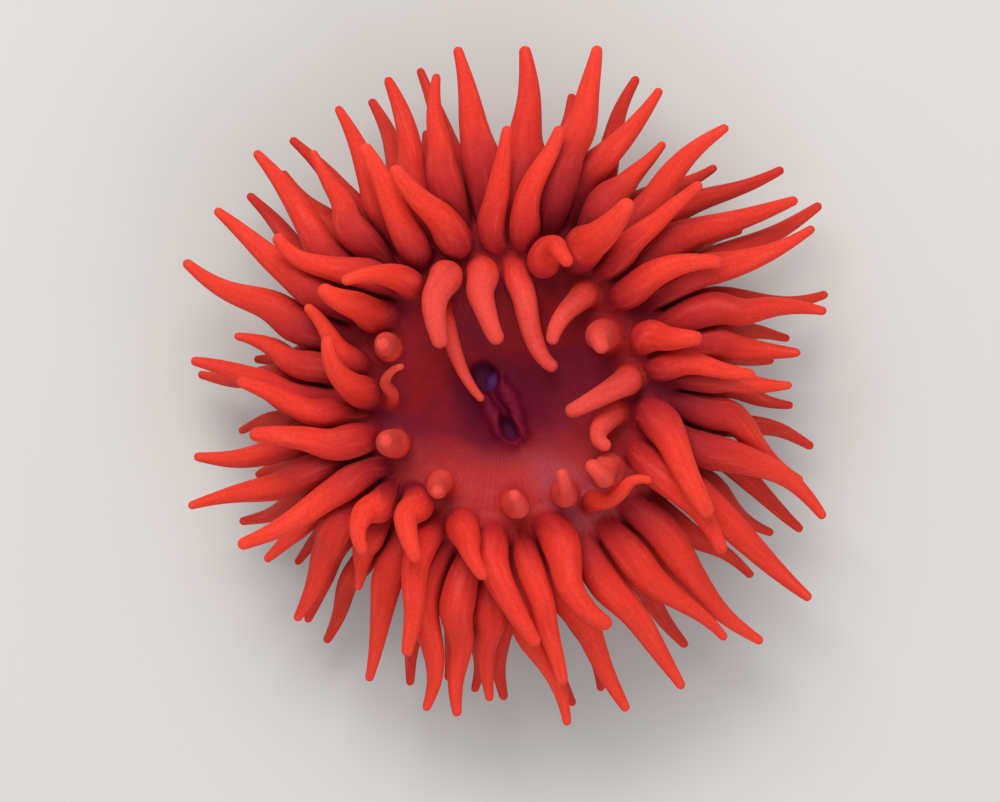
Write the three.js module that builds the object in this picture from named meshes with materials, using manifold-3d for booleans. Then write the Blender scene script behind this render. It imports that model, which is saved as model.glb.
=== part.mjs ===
// Beadlet anemone, Actinia equina, life size: a still model of the whole animal, open on a level surface.
// Millimetres, +Z up. The origin is the middle of the foot, on the surface that the foot grips.
// Azimuths are in degrees, anticlockwise from +X as seen from above. Reach is the distance from the Z axis.
import * as THREE from 'three';
import { mergeVertices } from 'three/addons/utils/BufferGeometryUtils.js';
import Module from 'manifold-3d';

const wasm = await Module();
wasm.setup();

// ---- Driving sizes ----
const GAP = 0.3; // space between two neighbouring nodes
const CUT_GAP = 0.27; // space left where one node gives way to another
const FOOT_RADIUS = 20.8;
const FOOT_HEIGHT = 1.6;
const WAIST_RADIUS = 17.8; // narrowest part of the column
const SHOULDER_RADIUS = 19.1; // column just under the disc
const COLUMN_TOP = 15.7;
const COLLAR_RADIUS = 20.6;
const COLLAR_TOP = 15.7;
const COLLAR_DEPTH = 2.4;
const BEAD_COUNT = 24; // stinging beads round the collar
const BEAD_SWELL = 0.55; // how far a bead stands out from the collar
const BEAD_DEPTH = 0.8; // how far below the collar's top its beads are
const DISC_RADIUS = 10.3; // bare part of the oral disc
const DISC_RIM = 19.5;
const DISC_FLOOR = 17.2; // the disc sinks towards the mouth
const MOUTH_CENTRE = [-0.7, -1.5];
const MOUTH_TURN = 117; // azimuth of the mouth slit
const MOUTH_LENGTH = 6.4;
const MOUTH_WIDTH = 1.9;
const MOUTH_DEPTH = 3;
const LIP_THICKNESS = 1.3;
const OUTLINE_WOBBLE = 0.022; // how far foot and column stray from round, as a share of the radius
const SECTOR_COUNT = 12; // each circle of tentacles is parted into this many nodes
const TENTACLE_SPACE = 0.35; // least space between two tentacles once they have settled
const ROUND_SEGMENTS = 28;

// Each circle of tentacles grows from its own ring-shaped band of the disc. lean is the angle at which a
// tentacle leaves the disc, arrive the angle of its last stretch, both above level. end is the width of its
// end as a share of the greatest width. stations are twentieths of a tentacle's length.
const CIRCLES = {
  inner: { from: 10.6, to: 14.3, top: 19.8, width: 3.1, end: 0.45, sides: 6, stations: [4, 9, 14, 19] },
  second: { from: 14.6, to: 16.1, top: 20.2, width: 3.7, end: 0.36, sides: 5, stations: [4, 9, 14, 19] },
  third: { from: 16.4, to: 17.8, top: 19.2, width: 3.8, end: 0.23, sides: 5, stations: [4, 9, 14, 19],
    lean: 40, arrive: -8, tipHeight: 15, tipSpread: 2 },
  outer: { from: 18.1, to: 19.1, top: 17.7, width: 2.9, end: 0.3, sides: 5, stations: [5, 12, 19],
    lean: 24, arrive: -18, tipHeight: 7.5, tipSpread: 1.6 },
};
const BAND_BOTTOM = 16;
const ROOT_SINK = 1.3; // how deep a tentacle starts below the top of its band

// ---- Pose of the tentacles ----
// inner and second: root azimuth, root reach, lean, tip azimuth, tip reach, tip height, arrive,
// turn of the last stretch away from the straight line to the tip, width factor.
const UPRIGHT_ROWS = {
  inner: [
    [51, 13.6, 84, 44.4, 6.8, 23.5, -30, 30, 0.9],
    [86, 13.6, 74, 22, 5.9, 21.5, -10, 52, 0.95],
    [103, 13.8, 72, 96.5, 5.1, 24, -30, 48, 1.12],
    [118, 14.6, 64, 146.5, 8, 26, -45, 8, 1.2],
    [126, 11.4, 84, 205.5, 2.65, 20, -20, 16, 0.62],
    [158.5, 13.4, 88, 159.5, 13.8, 31, 85, 0, 0.92],
    [186.5, 12.3, 90, 166.6, 10.9, 27, 5, -60, 0.5],
    [203.5, 13.4, 88, 203, 13.7, 31, 85, 0, 1],
    [235.5, 12.7, 88, 235.5, 12.8, 30, 85, 0, 0.85],
    [274, 11.5, 84, 273.5, 10.6, 30.5, 40, 0, 0.92],
    [300.5, 12.3, 84, 304.8, 10, 29.5, -5, 0, 0.9],
    [320.5, 13.4, 80, 318.4, 11.3, 30, -10, 0, 1.05],
    [351, 12.4, 130, 332.5, 12.5, 26, -25, 120, 0.9],
    [6.7, 13.8, 84, 338.6, 6.65, 25, -20, -18, 1],
    [26.5, 12.7, 112, 21.4, 11, 28, -25, 66, 1.15],
  ],
  second: [
    [9.5, 15.2, 58, 3.4, 26.3, 23, -12, -8, 0.8],
    [17.5, 15.8, 82, 14.8, 21.2, 26, -8, -6, 0.95],
    [40, 15.2, 58, 30.5, 26.3, 23.5, -10, -12, 0.95],
    [52, 15.8, 50, 46.6, 29.9, 21.5, -8, -14, 0.8],
    [62.5, 15.4, 66, 56.7, 23.6, 30.5, 18, 0, 1.2],
    [70.5, 15.3, 84, 62.7, 14.6, 29.5, -10, 0, 0.95],
    [80.5, 15.2, 60, 78.2, 28.4, 25, 5, -6, 0.9],
    [93.3, 15.1, 60, 89.6, 27.6, 27, 8, -6, 0.85],
    [110, 15.4, 62, 116.9, 26.2, 27.5, 5, 4, 1.02],
    [124, 15.9, 58, 120.2, 30, 24, 5, -8, 0.95],
    [131, 15, 78, 147.1, 20.6, 29, -15, 22, 0.85],
    [138, 15.9, 50, 145.8, 29.4, 23, 10, -24, 0.9],
    [145, 15, 76, 150.8, 22.2, 26.5, 20, -42, 1.05],
    [174, 15, 50, 156.4, 22.9, 22.5, 0, -4, 0.75],
    [184, 15, 84, 162.8, 19.5, 29, -10, -24, 0.95],
    [190, 15.6, 52, 177.9, 28.4, 23, -10, -6, 0.85],
    [197, 15.1, 60, 189.8, 27.3, 25, -8, 0, 1],
    [213.5, 15, 58, 210.2, 32.6, 22, -10, 4, 0.95],
    [219, 15.8, 62, 229.3, 22.6, 25.5, -30, 48, 0.95],
    [226, 15, 82, 242.5, 20.1, 27, -35, 12, 0.95],
    [243, 15.4, 54, 249.5, 29.8, 21.5, -12, 22, 0.9],
    [252, 15, 82, 263.6, 19.8, 27.5, -30, 8, 0.95],
    [264, 15, 60, 277.2, 27.1, 23.5, -14, 10, 1],
    [277, 15.6, 50, 281.1, 31.6, 20.5, -8, 4, 0.85],
    [285, 15, 60, 294, 27.1, 24.5, -14, 22, 1.1],
    [306, 15, 84, 328, 18, 27, -25, -42, 0.62],
    [335, 15, 58, 322.9, 28.7, 23.5, -10, -2, 0.95],
    [350.5, 15, 72, 328.2, 25.1, 26.5, -25, -12, 1.1],
  ],
};
// third and outer: root azimuth, tip azimuth, tip reach, turn of the last stretch, width factor if not 1.
const SPREAD_ROWS = {
  third: [
    [4, 1, 30.3, 0], [12.5, 7.2, 31.5, 0], [21, 13.6, 35.2, -4], [32.5, 27.9, 37.1, 0],
    [46, 33.1, 37.2, -10], [54.5, 49.8, 36.7, -2], [63.5, 57.4, 31.2, 0], [70, 62.8, 36.2, 0],
    [76.5, 75.1, 37.8, 14, 1.2], [86.5, 87, 36.6, 0, 1.25], [96, 98.2, 36.9, 6, 1.15],
    [104, 102.2, 34.4, -4], [113, 110.9, 35.7, 0], [128, 120.8, 35.1, 0], [134, 128.9, 32.8, 0],
    [142, 136.4, 37, -4], [153, 148.1, 36.4, 0], [161, 158, 37, -8, 1.1], [176, 168.7, 29.4, 0],
    [184, 174.6, 33.6, 0],
    [196, 191.9, 34, 0], [203, 200.1, 36, -4], [212.5, 215.4, 31.4, 0], [217.5, 227.7, 33.2, 4],
    [225, 233.4, 26.3, 0], [231, 244.8, 34.4, -2], [250.5, 255.8, 35.2, 0], [258, 261.6, 35.1, 0],
    [265, 267.1, 33.2, 0], [272, 280.4, 36.3, 0], [284, 290.8, 36.6, 0], [297.5, 300.7, 37, 0],
    [306, 311.4, 35.4, 0], [316, 315.6, 38.5, 0], [332.5, 325.5, 39.4, 2], [347, 337.8, 36.6, -10],
    [357, 342.9, 33.1, 0],
  ],
  outer: [
    [2.5, 356.9, 30.7, 0], [9, 6.3, 28.8, 0], [16, 10.1, 30.9, 0], [24.5, 16.7, 36, 0],
    [34, 30.6, 39.4, 0], [40, 34, 30.5, 0], [47, 38.5, 38.1, -4], [57, 46.7, 33, 0],
    [68, 67.2, 36.4, 0], [80, 77.5, 32.6, 0], [101, 105.1, 35.8, 0], [107.5, 107, 29, 0],
    [116, 115, 34.5, 0], [131, 130.6, 35.5, 0], [138, 135.6, 33.6, 0], [146, 142.7, 34.8, -8],
    [170, 173, 27, 0], [177.5, 176.9, 33.1, 0], [189, 189, 28.9, 6], [199, 199, 28.2, 4],
    [207, 206.2, 31.9, 0], [215, 219.7, 29.1, 0], [222, 229.4, 32.8, 0], [229, 234.5, 33.3, 4],
    [247, 252.1, 33.2, 0], [254.5, 258.7, 31.8, 0], [261.5, 263.9, 32.5, 0], [268.5, 269.8, 33.2, 0],
    [278, 282.2, 34.7, 0], [288, 287.5, 33.8, 0], [302.5, 305.2, 33.7, 0], [311, 312.7, 33.5, 0],
    [323.5, 322.8, 33.1, 0], [337, 331.8, 32.6, 0], [344, 334.5, 35.1, -4], [352, 349.3, 33.5, 0],
  ],
};

// ---- Small helpers ----
const radians = THREE.MathUtils.degToRad;

function polar(azimuth, reach, height) {
  const angle = radians(azimuth);
  return new THREE.Vector3(reach * Math.cos(angle), reach * Math.sin(angle), height);
}

// A unit vector that points along an azimuth and rises by an angle above level.
function heading(azimuth, rise) {
  return polar(azimuth, Math.cos(radians(rise)), Math.sin(radians(rise)));
}

function toSolid(geometry) {
  const bare = geometry.clone();
  bare.deleteAttribute('normal');
  bare.deleteAttribute('uv');
  const merged = mergeVertices(bare, 1e-4);
  const mesh = new wasm.Mesh({
    numProp: 3,
    vertProperties: new Float32Array(merged.attributes.position.array),
    triVerts: new Uint32Array(merged.index.array),
  });
  return new wasm.Manifold(mesh);
}

function toGeometry(solid) {
  const mesh = solid.getMesh();
  const geometry = new THREE.BufferGeometry();
  geometry.setAttribute('position', new THREE.BufferAttribute(mesh.vertProperties, 3));
  geometry.setIndex(new THREE.BufferAttribute(mesh.triVerts, 1));
  return geometry;
}

// A solid of revolution about Z from [radius, height] points that go round it anticlockwise.
function turned(outline, segments = ROUND_SEGMENTS) {
  const points = outline.map(([radius, height]) => new THREE.Vector2(radius, height));
  return new THREE.LatheGeometry(points, segments).rotateX(Math.PI / 2);
}

// The foot and column stray from a true circle, less and less towards the top.
function wobble(geometry) {
  const position = geometry.attributes.position;
  for (let i = 0; i < position.count; i += 1) {
    const x = position.getX(i);
    const y = position.getY(i);
    const azimuth = Math.atan2(y, x);
    const fade = 1 - position.getZ(i) / COLUMN_TOP;
    const long = Math.sin(2 * azimuth + 0.6) + 0.7 * Math.sin(5 * azimuth + 2);
    const wave = long + 0.4 * Math.sin(9 * azimuth);
    const scale = 1 + OUTLINE_WOBBLE * fade * wave;
    position.setXY(i, x * scale, y * scale);
  }
  return geometry;
}

// ---- Body ----
function footSolid() {
  return toSolid(wobble(turned([
    [0, 0], [FOOT_RADIUS - 0.7, 0], [FOOT_RADIUS, 0.7], [FOOT_RADIUS - 0.3, FOOT_HEIGHT], [0, FOOT_HEIGHT],
  ])));
}

function columnSolid() {
  const bottom = FOOT_HEIGHT + GAP;
  const column = toSolid(wobble(turned([
    [0, bottom], [FOOT_RADIUS - 0.5, bottom], [WAIST_RADIUS + 1, 4.2], [WAIST_RADIUS, 8],
    [WAIST_RADIUS + 0.3, 11.5], [SHOULDER_RADIUS, 14.2], [SHOULDER_RADIUS, COLUMN_TOP], [0, COLUMN_TOP],
  ])));
  return column.subtract(throatSolid());
}

// The collar is a ring round the shoulder. Its outer face swells into a row of stinging beads.
function collarSolid(grow) {
  const inner = SHOULDER_RADIUS + GAP - grow;
  const outer = COLLAR_RADIUS - BEAD_SWELL + grow;
  const top = COLLAR_TOP + grow;
  const bottom = COLLAR_TOP - COLLAR_DEPTH - grow;
  const crest = top - BEAD_DEPTH;
  const ring = turned([
    [inner, bottom], [outer - 0.3, bottom + 0.7], [outer, crest], [inner, top], [inner, bottom],
  ], 2 * BEAD_COUNT);
  const position = ring.attributes.position;
  for (let i = 0; i < position.count; i += 1) {
    const point = new THREE.Vector3().fromBufferAttribute(position, i);
    const side = Math.round(Math.atan2(point.y, point.x) / Math.PI * BEAD_COUNT);
    const swells = side % 2 !== 0 && Math.abs(point.z - crest) < 0.01;
    const scale = swells ? (COLLAR_RADIUS + grow) / outer : 1;
    position.setXY(i, point.x * scale, point.y * scale);
  }
  return toSolid(ring);
}

// The throat: an upright oval post, as long and wide as the mouth, that is cut out of disc and column.
function throatSolid() {
  const post = new THREE.CylinderGeometry(0.5, 0.5, MOUTH_DEPTH + 1, 16).rotateX(Math.PI / 2);
  post.scale(MOUTH_LENGTH, MOUTH_WIDTH, 1).rotateZ(radians(MOUTH_TURN));
  return toSolid(post.translate(...MOUTH_CENTRE, DISC_FLOOR + (1 - MOUTH_DEPTH) / 2));
}

function oralDiscSolid() {
  const disc = toSolid(turned([
    [0, BAND_BOTTOM], [DISC_RADIUS, BAND_BOTTOM], [DISC_RADIUS, DISC_RIM],
    [8.4, DISC_RIM - 0.5], [6.2, DISC_FLOOR + 0.5], [4.4, DISC_FLOOR], [0, DISC_FLOOR],
  ]));
  return disc.subtract(throatSolid());
}

// Two swollen lips meet as one oval ring round the throat.
function lipsSolid() {
  const bottom = DISC_FLOOR + GAP;
  const ring = new THREE.TorusGeometry(1, 0.34, 6, 16);
  ring.scale((MOUTH_LENGTH + LIP_THICKNESS) / 2, (MOUTH_WIDTH + LIP_THICKNESS) / 2, LIP_THICKNESS * 1.6);
  ring.rotateZ(radians(MOUTH_TURN)).translate(...MOUTH_CENTRE, bottom + LIP_THICKNESS * 0.6);
  return toSolid(ring);
}

// ---- Tentacles ----
// Width of a tentacle at a share of its length, as a share of its greatest width: it swells past the root,
// then thins to its end, evenly or, the more slender it is, like the neck of a bottle.
function thickness(share, end, slender) {
  const swollen = 0.28;
  if (share < swollen) return 0.7 + 0.3 * Math.sin(Math.PI / 2 * share / swollen);
  const thinned = (share - swollen) / (1 - swollen);
  const neck = Math.sin(Math.PI / 2 * thinned ** 1.4);
  return 1 - (1 - end) * (thinned + (neck - thinned) * slender);
}

const PATH_POINTS = 15;
const ROOT_PULL = 0.36; // how far each end keeps its direction, as a share of the span
const TIP_PULL = 0.34;
const BOW = 0.03; // how far a tentacle bows to one side, as a share of its span
const WAVE = 0.03; // and how far it winds to both sides

// order is the tentacle's number in its circle, from which its bow, wave and slenderness follow.
function makeTentacle(circle, order, width, root, lean, rootAzimuth, tip, arrive, turn) {
  const span = root.distanceTo(tip);
  const line = THREE.MathUtils.radToDeg(Math.atan2(tip.y - root.y, tip.x - root.x));
  const leave = root.clone().addScaledVector(heading(rootAzimuth, lean), span * ROOT_PULL);
  const reach = tip.clone().addScaledVector(heading(line + turn, arrive), -span * TIP_PULL);
  const points = new THREE.CubicBezierCurve3(root, leave, reach, tip).getSpacedPoints(PATH_POINTS - 1);
  const side = heading(line + 90, 0);
  points.forEach((point, i) => {
    const along = Math.PI * i / (PATH_POINTS - 1);
    const bow = BOW * Math.sin(1.3 * order) * Math.sin(along);
    const wave = WAVE * Math.sin(2.1 * order + 0.7) * Math.sin(2 * along);
    point.addScaledVector(side, span * (bow + wave));
  });
  const slender = 0.05 - 0.35 * Math.sin(1.7 * order);
  const halfWidth = (share) => width / 2 * thickness(share, CIRCLES[circle].end, slender);
  const radii = points.map((_, i) => halfWidth(i / (PATH_POINTS - 1)));
  return { circle, rootAzimuth, points, halfWidth, radii };
}

function poseTentacles() {
  const tentacles = [];
  for (const [name, rows] of Object.entries(UPRIGHT_ROWS)) {
    const { top, width } = CIRCLES[name];
    rows.forEach(([azimuth, rootReach, lean, tipAzimuth, tipReach, tipHeight, arrive, turn, factor], i) => {
      const root = polar(azimuth, rootReach, top - ROOT_SINK);
      const tip = polar(tipAzimuth, tipReach, tipHeight);
      tentacles.push(makeTentacle(name, i, width * factor, root, lean, azimuth, tip, arrive, turn));
    });
  }
  for (const [name, rows] of Object.entries(SPREAD_ROWS)) {
    const { from, to, top, width, lean, arrive, tipHeight, tipSpread } = CIRCLES[name];
    rows.forEach(([azimuth, tipAzimuth, tipReach, turn, broadness = 1], i) => {
      const root = polar(azimuth, (from + to) / 2, top - ROOT_SINK);
      const tip = polar(tipAzimuth, tipReach, tipHeight + tipSpread * Math.sin(2.4 * i + 1));
      const factor = broadness * (0.75 + 0.25 * root.distanceTo(tip) / 20);
      tentacles.push(makeTentacle(name, i, width * factor, root, lean, azimuth, tip, arrive, turn));
    });
  }
  return tentacles;
}

// Pairs of path points, on two different tentacles, that lie close enough to press on each other.
function closePairs(tentacles) {
  const pairs = [];
  tentacles.forEach((a, i) => tentacles.slice(i + 1).forEach((b) => a.points.forEach((p, m) => {
    b.points.forEach((q, n) => {
      const least = a.radii[m] + b.radii[n] + TENTACLE_SPACE;
      if (p.distanceTo(q) < least + 2) pairs.push({ a, b, m, n, least });
    });
  })));
  return pairs;
}

// Tentacles that would pass through each other push apart, a little at a time, and stay smooth curves.
function settle(tentacles) {
  const pairs = closePairs(tentacles);
  for (let round = 0; round < 60; round += 1) {
    for (const tentacle of tentacles) tentacle.push = tentacle.points.map(() => new THREE.Vector3());
    for (const { a, b, m, n, least } of pairs) {
      const apart = a.points[m].clone().sub(b.points[n]);
      const distance = apart.length() + 1e-6;
      if (distance < least) {
        apart.multiplyScalar(0.4 * (least - distance) / distance);
        a.push[m].add(apart);
        b.push[n].sub(apart);
      }
    }
    for (const tentacle of tentacles) {
      tentacle.push.forEach((push, i) => {
        const share = i / (PATH_POINTS - 1);
        push.multiplyScalar(THREE.MathUtils.clamp((share - 0.1) / 0.25, 0, 1));
      });
      for (let pass = 0; pass < 3; pass += 1) tentacle.push = smooth(tentacle.push);
      tentacle.points.forEach((point, i) => point.add(tentacle.push[i]));
    }
  }
}

// One pass of a 1-2-1 average along the tentacle; the root stays where it is.
function smooth(push) {
  const last = push.length - 1;
  return push.map((own, i) => {
    if (i === 0) return new THREE.Vector3();
    if (i === last) return own.clone().add(push[last - 1]).multiplyScalar(0.5);
    return own.clone().multiplyScalar(2).add(push[i - 1]).add(push[i + 1]).multiplyScalar(0.25);
  });
}

// A straight spindle one unit long, turned about Y, is bent along the tentacle's path. It is pointed at the
// root too, where it lies inside its band.
const FRAME_STEPS = 20;

function tentacleSolid(tentacle, grow) {
  const { sides, stations } = CIRCLES[tentacle.circle];
  const outline = [new THREE.Vector2(0, 0)];
  for (const step of stations) {
    const share = step / FRAME_STEPS;
    outline.push(new THREE.Vector2(tentacle.halfWidth(share) + grow, share));
  }
  outline.push(new THREE.Vector2(0, 1));
  const geometry = new THREE.LatheGeometry(outline, sides);
  const curve = new THREE.CatmullRomCurve3(tentacle.points);
  const frames = curve.computeFrenetFrames(FRAME_STEPS, false);
  const position = geometry.attributes.position;
  for (let i = 0; i < position.count; i += 1) {
    const step = Math.round(position.getY(i) * FRAME_STEPS);
    const point = curve.getPointAt(step / FRAME_STEPS);
    point.addScaledVector(frames.normals[step], position.getX(i));
    point.addScaledVector(frames.binormals[step], -position.getZ(i));
    position.setXYZ(i, point.x, point.y, point.z);
  }
  return toSolid(geometry);
}

// One sector of a circle's band: an arc-shaped block with a straight gap to the next sector.
function bandSolid(circle, sector, grow) {
  const inner = circle.from - grow;
  const outer = circle.to + grow;
  const halfGap = GAP / 2 - grow;
  const start = radians(360 * sector / SECTOR_COUNT);
  const end = radians(360 * (sector + 1) / SECTOR_COUNT);
  const shape = new THREE.Shape();
  shape.absarc(0, 0, outer, start + halfGap / outer, end - halfGap / outer, false);
  shape.absarc(0, 0, inner, end - halfGap / inner, start + halfGap / inner, true);
  const depth = circle.top - BAND_BOTTOM + 2 * grow;
  const block = new THREE.ExtrudeGeometry(shape, { depth, bevelEnabled: false, curveSegments: 2 });
  return toSolid(block.translate(0, 0, BAND_BOTTOM - grow));
}

function sectorSolid(name, sector, tentacles, grow) {
  let solid = bandSolid(CIRCLES[name], sector, grow);
  for (const tentacle of tentacles) solid = solid.add(tentacleSolid(tentacle, grow));
  return solid;
}

// ---- Assembly ----
const model = new THREE.Group();

function addNode(name, solid, color, roughness = 0.45) {
  const material = new THREE.MeshStandardMaterial({ color, roughness, metalness: 0 });
  const mesh = new THREE.Mesh(toGeometry(solid), material);
  mesh.name = name;
  model.add(mesh);
}

function boxesMeet(a, b) {
  return [0, 1, 2].every((axis) => a.min[axis] < b.max[axis] && b.min[axis] < a.max[axis]);
}

const collar = collarSolid(0);
addNode('foot', footSolid(), 0x6e1a14);
addNode('column', columnSolid(), 0x7d1d16);
addNode('collar', collar, 0x8a2018);
addNode('oral_disc', oralDiscSolid(), 0x9c1d26);
addNode('lips', lipsSolid(), 0x5a1230);

const tentacles = poseTentacles();
settle(tentacles);

// Each node gives way, by the gap, to the ones made before it.
const placed = [collarSolid(CUT_GAP)];
for (const name of Object.keys(CIRCLES)) {
  for (let sector = 0; sector < SECTOR_COUNT; sector += 1) {
    const own = tentacles.filter((tentacle) => tentacle.circle === name
      && Math.floor(tentacle.rootAzimuth * SECTOR_COUNT / 360) === sector);
    let solid = sectorSolid(name, sector, own, 0);
    for (const other of placed) {
      if (boxesMeet(solid.boundingBox(), other.boundingBox())) solid = solid.subtract(other);
    }
    placed.push(sectorSolid(name, sector, own, CUT_GAP));
    addNode(`tentacles_${name}_${String(sector + 1).padStart(2, '0')}`, solid, 0xd8402a, 0.4);
  }
}

export default model;
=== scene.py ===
"""Looks of a life-size beadlet anemone, Actinia equina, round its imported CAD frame.

One continuous skin stands for every node of flesh. It is the surface of a distance field: a body of
revolution with a bowl-shaped disc, a mouth and a collar of beads, and tentacles that grow out of it.
Lengths are in millimetres, in the frame of the CAD, until the mesh is made.
"""

from math import cos, pi, radians, sin

import bpy
import numpy as np
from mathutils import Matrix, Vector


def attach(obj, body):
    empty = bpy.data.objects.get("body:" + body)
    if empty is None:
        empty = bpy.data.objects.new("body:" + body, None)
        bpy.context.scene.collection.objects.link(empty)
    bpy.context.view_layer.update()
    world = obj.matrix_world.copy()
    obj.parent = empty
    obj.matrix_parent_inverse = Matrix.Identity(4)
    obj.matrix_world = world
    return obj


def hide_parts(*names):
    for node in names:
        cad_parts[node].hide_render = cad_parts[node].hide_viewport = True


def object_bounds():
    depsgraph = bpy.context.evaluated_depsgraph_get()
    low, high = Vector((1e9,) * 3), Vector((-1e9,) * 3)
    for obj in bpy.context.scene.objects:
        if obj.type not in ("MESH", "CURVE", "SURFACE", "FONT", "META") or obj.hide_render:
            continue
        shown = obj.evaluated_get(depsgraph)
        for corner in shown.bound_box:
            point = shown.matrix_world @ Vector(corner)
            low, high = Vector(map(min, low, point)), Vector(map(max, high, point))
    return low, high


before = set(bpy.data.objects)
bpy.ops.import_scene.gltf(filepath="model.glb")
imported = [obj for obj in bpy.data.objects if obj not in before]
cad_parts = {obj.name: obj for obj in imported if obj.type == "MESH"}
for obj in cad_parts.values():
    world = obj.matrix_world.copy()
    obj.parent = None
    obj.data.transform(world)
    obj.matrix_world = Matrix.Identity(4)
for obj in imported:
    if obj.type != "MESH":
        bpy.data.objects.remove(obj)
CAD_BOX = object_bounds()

MM = 0.001

# ---- Driving sizes, as in the CAD ----
FOOT_RADIUS = 20.8
WAIST_RADIUS = 17.8  # narrowest part of the column
SHOULDER_RADIUS = 19.1  # column just under the collar
COLUMN_TOP = 15.7
COLLAR_RADIUS = 20.6
BEAD_COUNT = 24  # stinging beads round the collar
BEAD_RADIUS = 1.05
DISC_RIM = 19.5
DISC_FLOOR = 17.2
MOUTH_CENTRE = (-0.7, -1.5)
MOUTH_TURN = 117  # azimuth of the mouth slit
OUTLINE_WOBBLE = 0.022
TENTACLE_SPACE = 0.35  # space that settling aims for between two tentacles
ROOT_SINK = 1.3  # depth in the disc at which a tentacle starts

# Each circle of tentacles grows from a band of the disc (from, to) at a height (top). Width is the
# greatest, and end is the share of it left at the tip. The two outer circles also share their lean at
# the root, the rise with which they arrive at the tip, and the height and spread of the tips.
CIRCLES = {
    "inner": {"from": 10.6, "to": 14.3, "top": 19.8, "width": 3.1, "end": 0.45},
    "second": {"from": 14.6, "to": 16.1, "top": 20.2, "width": 3.7, "end": 0.36},
    "third": {"from": 16.4, "to": 17.8, "top": 19.2, "width": 3.8, "end": 0.23,
              "lean": 40, "arrive": -8, "tip_height": 15, "tip_spread": 2},
    "outer": {"from": 18.1, "to": 19.1, "top": 17.7, "width": 2.9, "end": 0.3,
              "lean": 24, "arrive": -18, "tip_height": 7.5, "tip_spread": 1.6},
}

# ---- Pose of the tentacles, as in the CAD ----
# inner and second: root azimuth, root reach, lean, tip azimuth, tip reach, tip height, arrive,
# turn of the last stretch away from the straight line to the tip, width factor.
INNER_ROWS = [
    (51, 13.6, 84, 44.4, 6.8, 23.5, -30, 30, 0.9),
    (86, 13.6, 74, 22, 5.9, 21.5, -10, 52, 0.95),
    (103, 13.8, 72, 96.5, 5.1, 24, -30, 48, 1.12),
    (118, 14.6, 64, 146.5, 8, 26, -45, 8, 1.2),
    (126, 11.4, 84, 205.5, 2.65, 20, -20, 16, 0.62),
    (158.5, 13.4, 88, 159.5, 13.8, 31, 85, 0, 0.92),
    (186.5, 12.3, 90, 166.6, 10.9, 27, 5, -60, 0.5),
    (203.5, 13.4, 88, 203, 13.7, 31, 85, 0, 1),
    (235.5, 12.7, 88, 235.5, 12.8, 30, 85, 0, 0.85),
    (274, 11.5, 84, 273.5, 10.6, 30.5, 40, 0, 0.92),
    (300.5, 12.3, 84, 304.8, 10, 29.5, -5, 0, 0.9),
    (320.5, 13.4, 80, 318.4, 11.3, 30, -10, 0, 1.05),
    (351, 12.4, 130, 332.5, 12.5, 26, -25, 120, 0.9),
    (6.7, 13.8, 84, 338.6, 6.65, 25, -20, -18, 1),
    (26.5, 12.7, 112, 21.4, 11, 28, -25, 66, 1.15),
]
SECOND_ROWS = [
    (9.5, 15.2, 58, 3.4, 26.3, 23, -12, -8, 0.8),
    (17.5, 15.8, 82, 14.8, 21.2, 26, -8, -6, 0.95),
    (40, 15.2, 58, 30.5, 26.3, 23.5, -10, -12, 0.95),
    (52, 15.8, 50, 46.6, 29.9, 21.5, -8, -14, 0.8),
    (62.5, 15.4, 66, 56.7, 23.6, 30.5, 18, 0, 1.2),
    (70.5, 15.3, 84, 62.7, 14.6, 29.5, -10, 0, 0.95),
    (80.5, 15.2, 60, 78.2, 28.4, 25, 5, -6, 0.9),
    (93.3, 15.1, 60, 89.6, 27.6, 27, 8, -6, 0.85),
    (110, 15.4, 62, 116.9, 26.2, 27.5, 5, 4, 1.02),
    (124, 15.9, 58, 120.2, 30, 24, 5, -8, 0.95),
    (131, 15, 78, 147.1, 20.6, 29, -15, 22, 0.85),
    (138, 15.9, 50, 145.8, 29.4, 23, 10, -24, 0.9),
    (145, 15, 76, 150.8, 22.2, 26.5, 20, -42, 1.05),
    (174, 15, 50, 156.4, 22.9, 22.5, 0, -4, 0.75),
    (184, 15, 84, 162.8, 19.5, 29, -10, -24, 0.95),
    (190, 15.6, 52, 177.9, 28.4, 23, -10, -6, 0.85),
    (197, 15.1, 60, 189.8, 27.3, 25, -8, 0, 1),
    (213.5, 15, 58, 210.2, 32.6, 22, -10, 4, 0.95),
    (219, 15.8, 62, 229.3, 22.6, 25.5, -30, 48, 0.95),
    (226, 15, 82, 242.5, 20.1, 27, -35, 12, 0.95),
    (243, 15.4, 54, 249.5, 29.8, 21.5, -12, 22, 0.9),
    (252, 15, 82, 263.6, 19.8, 27.5, -30, 8, 0.95),
    (264, 15, 60, 277.2, 27.1, 23.5, -14, 10, 1),
    (277, 15.6, 50, 281.1, 31.6, 20.5, -8, 4, 0.85),
    (285, 15, 60, 294, 27.1, 24.5, -14, 22, 1.1),
    (306, 15, 84, 328, 18, 27, -25, -42, 0.62),
    (335, 15, 58, 322.9, 28.7, 23.5, -10, -2, 0.95),
    (350.5, 15, 72, 328.2, 25.1, 26.5, -25, -12, 1.1),
]
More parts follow.
